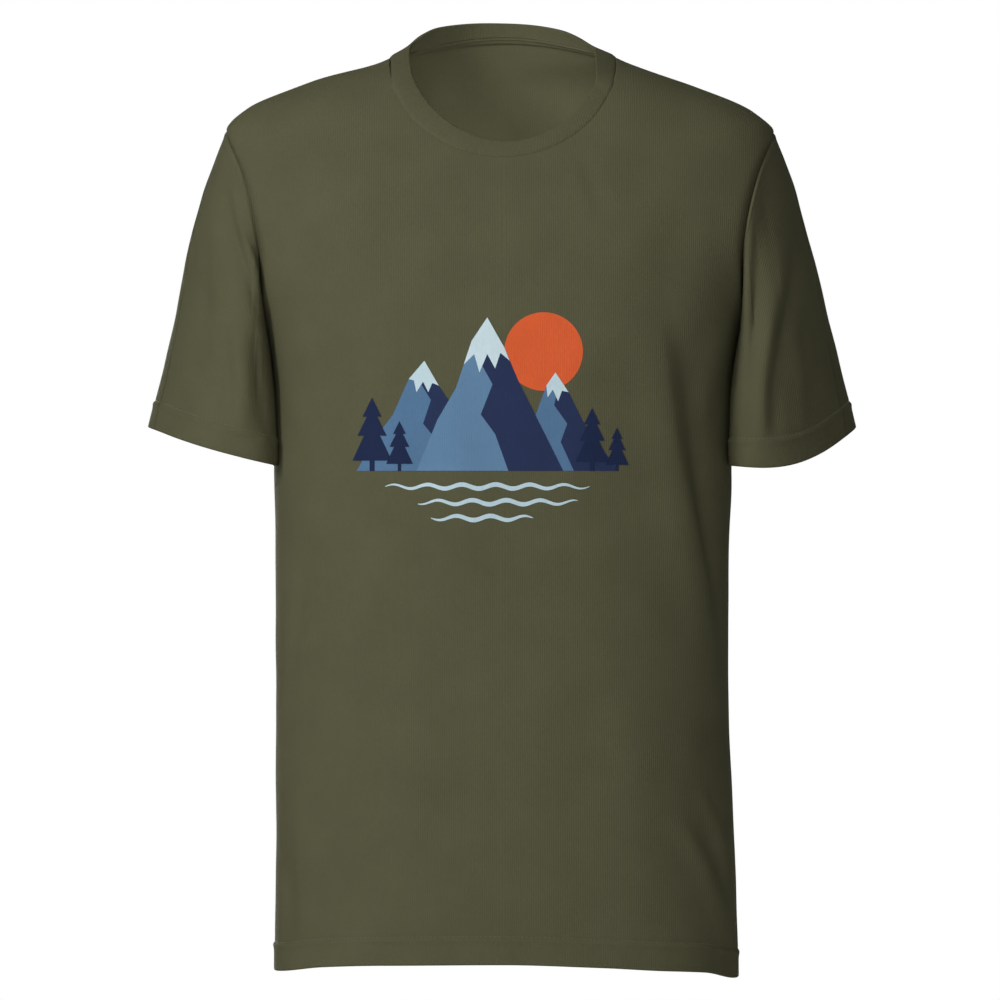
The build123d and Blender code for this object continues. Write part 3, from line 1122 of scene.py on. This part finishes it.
def knitMaterial(name, hexColour, wale, depth):
    # Cotton knit: matt, with rows of small V-shaped loops, a little fuzz and faint uneven patches.
    material, shader = newMaterial(name)
    shader.inputs["Roughness"].default_value = 0.92
    shader.inputs["Specular IOR Level"].default_value = 0.04
    flat = addNode(material, "ShaderNodeUVMap", {"uv_map": "ClothMap"})
    split = addNode(material, "ShaderNodeSeparateXYZ", None, {0: flat.outputs[0]})
    columns = {0: split.outputs[0], 1: wale / 2}
    across = addNode(material, "ShaderNodeMath", {"operation": "PINGPONG"}, columns)
    slant = addNode(material, "ShaderNodeMath", {"operation": "MULTIPLY"}, {0: across.outputs[0], 1: 1.1})
    slanted = {0: split.outputs[1], 1: slant.outputs[0]}
    run = addNode(material, "ShaderNodeMath", {"operation": "ADD"}, slanted)
    turns = {0: run.outputs[0], 1: 2 * pi / knit["course"]}
    turn = addNode(material, "ShaderNodeMath", {"operation": "MULTIPLY"}, turns)
    loops = addNode(material, "ShaderNodeMath", {"operation": "SINE"}, {0: turn.outputs[0]})
    ribbed = {0: across.outputs[0], 1: 2.2 / wale}
    ribs = addNode(material, "ShaderNodeMath", {"operation": "MULTIPLY"}, ribbed)
    knitted = {0: loops.outputs[0], 1: 0.3, 2: ribs.outputs[0]}
    height = addNode(material, "ShaderNodeMath", {"operation": "MULTIPLY_ADD"}, knitted)
    place = addNode(material, "ShaderNodeTexCoord").outputs["Object"]
    fuzz = addNode(material, "ShaderNodeTexNoise", None, {"Vector": place, "Scale": 900, "Detail": 2})
    fuzzed = {0: fuzz.outputs[0], 1: 0.9, 2: height.outputs[0]}
    mixed = addNode(material, "ShaderNodeMath", {"operation": "MULTIPLY_ADD"}, fuzzed)
    relieved = {"Height": mixed.outputs[0], "Distance": depth * mm, "Strength": 1.0}
    bump = addNode(material, "ShaderNodeBump", None, relieved)
    material.node_tree.links.new(bump.outputs[0], shader.inputs["Normal"])
    patches = addNode(material, "ShaderNodeTexNoise", None, {"Vector": place, "Scale": 26, "Detail": 4})
    speck = addNode(material, "ShaderNodeTexNoise", None, {"Vector": place, "Scale": 420, "Detail": 2})
    specked = {0: speck.outputs[0], 1: 0.5, 2: patches.outputs[0]}
    tone = addNode(material, "ShaderNodeMath", {"operation": "MULTIPLY_ADD"}, specked)
    levels = {"Value": tone.outputs[0], "From Min": 0.45, "From Max": 1.05, "To Min": 0.93, "To Max": 1.07}
    spread = addNode(material, "ShaderNodeMapRange", None, levels)
    tinted = {0: colour(hexColour)[:3], "Scale": spread.outputs[0]}
    tint = addNode(material, "ShaderNodeVectorMath", {"operation": "SCALE"}, tinted)
    material.node_tree.links.new(tint.outputs[0], shader.inputs["Base Color"])
    return material


def threadMaterial(name, hexColour):
    # Sewing thread: smoother than the cloth, with a slight shine.
    material, shader = newMaterial(name)
    shader.inputs["Base Color"].default_value = colour(hexColour)
    shader.inputs["Roughness"].default_value = 0.6
    return material


jersey = knitMaterial("jerseyCotton", "#5A5943", knit["wale"], knit["depth"])
rib = knitMaterial("ribCotton", "#5B5A44", knit["ribWale"], knit["ribDepth"])

for obj in (frontPanel, backPanel, leftSleeve, rightSleeve, *inner.values()):
    obj.data.materials.append(jersey)
for obj in (neckbandPiece, neckTape):
    obj.data.materials.append(rib)
hemStitches.data.materials.append(threadMaterial("sewingThread", "#605F4A"))
for kind, obj in ink.items():
    obj.data.materials.append(knitMaterial(kind + "InkOnCotton", inks[kind], knit["wale"], knit["inkDepth"]))


# Stage: lights with their place and size in metres and their power in watts
def addLight(name, place, size, power, target=(0, 0, -0.35)):
    light = bpy.data.lights.new(name, "AREA")
    light.shape = "DISK"
    light.size = size
    light.energy = power
    obj = bpy.data.objects.new(name, light)
    obj.location = place
    obj.rotation_euler = (Vector(place) - Vector(target)).to_track_quat("Z", "Y").to_euler()
    bpy.context.scene.collection.objects.link(obj)
    return obj


addLight("KeyLight", (-2.15, -2.1, 0.95), 1.0, 50)
addLight("FrontLight", (-0.3, -4.4, 0.5), 1.6, 36)
addLight("TopLight", (-0.3, -1.9, 1.1), 0.6, 11, target=(0, 0, -0.1))
addLight("BackLight", (-1.0, 4.4, -0.1), 1.6, 120)
# The photo's neck opening is lit from inside as well
innerLight = addLight("InnerLight", (-0.03, -0.03, -0.24), 0.18, 0.29, target=(-0.01, 0.08, -0.02))
innerLight.visible_camera = False


def cameraPath(owner):
    # 1 for what the camera sees, directly or through a reflection, and 0 for the light on the shirt.
    path = addNode(owner, "ShaderNodeLightPath")
    seen = path.outputs["Is Camera Ray"]
    for kind in ("Is Glossy Ray", "Is Transmission Ray"):
        both = {0: seen, 1: path.outputs[kind]}
        seen = addNode(owner, "ShaderNodeMath", {"operation": "MAXIMUM"}, both).outputs[0]
    return seen


# White behind the shirt and a little light from all round
ambient = 0.06
world = bpy.data.worlds.new("World")
bpy.context.scene.world = world
world.use_nodes = True
background = world.node_tree.nodes["Background"]
background.inputs["Color"].default_value = (1, 1, 1, 1)
strength = addNode(world, "ShaderNodeMapRange", None, {"Value": cameraPath(world), "To Min": ambient})
world.node_tree.links.new(strength.outputs[0], background.inputs["Strength"])

bm = bmesh.new()
bmesh.ops.create_grid(bm, x_segments=1, y_segments=1, size=9)
bmesh.ops.translate(bm, verts=bm.verts, vec=(0, 0, -1.6))
floor = addPiece("floor", bm)
paper, paperShader = newMaterial("whitePaper")
paperShader.inputs["Base Color"].default_value = colour("#F4F4F2")
paperShader.inputs["Roughness"].default_value = 0.9
glow = addNode(paper, "ShaderNodeEmission", None, {"Color": (1, 1, 1, 1), "Strength": 1.0})
mix = addNode(
    paper, "ShaderNodeMixShader", None,
    {0: cameraPath(paper), 1: paperShader.outputs[0], 2: glow.outputs[0]},
)
paper.node_tree.links.new(mix.outputs[0], paper.node_tree.nodes["Material Output"].inputs["Surface"])
floor.data.materials.append(paper)

# Everything rides on the shirt's one body
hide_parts("front_panel", "bottom_hem")
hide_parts("back_panel")
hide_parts("left_sleeve", "left_sleeve_hem")
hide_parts("right_sleeve", "right_sleeve_hem")
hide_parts("neckband")
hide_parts("neck_tape")
for node, obj in inner.items():
    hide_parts(node)
panels = (frontPanel, backPanel, leftSleeve, rightSleeve)
for obj in (*panels, neckbandPiece, neckTape, *inner.values(), *ink.values(), hemStitches):
    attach(obj, "root")
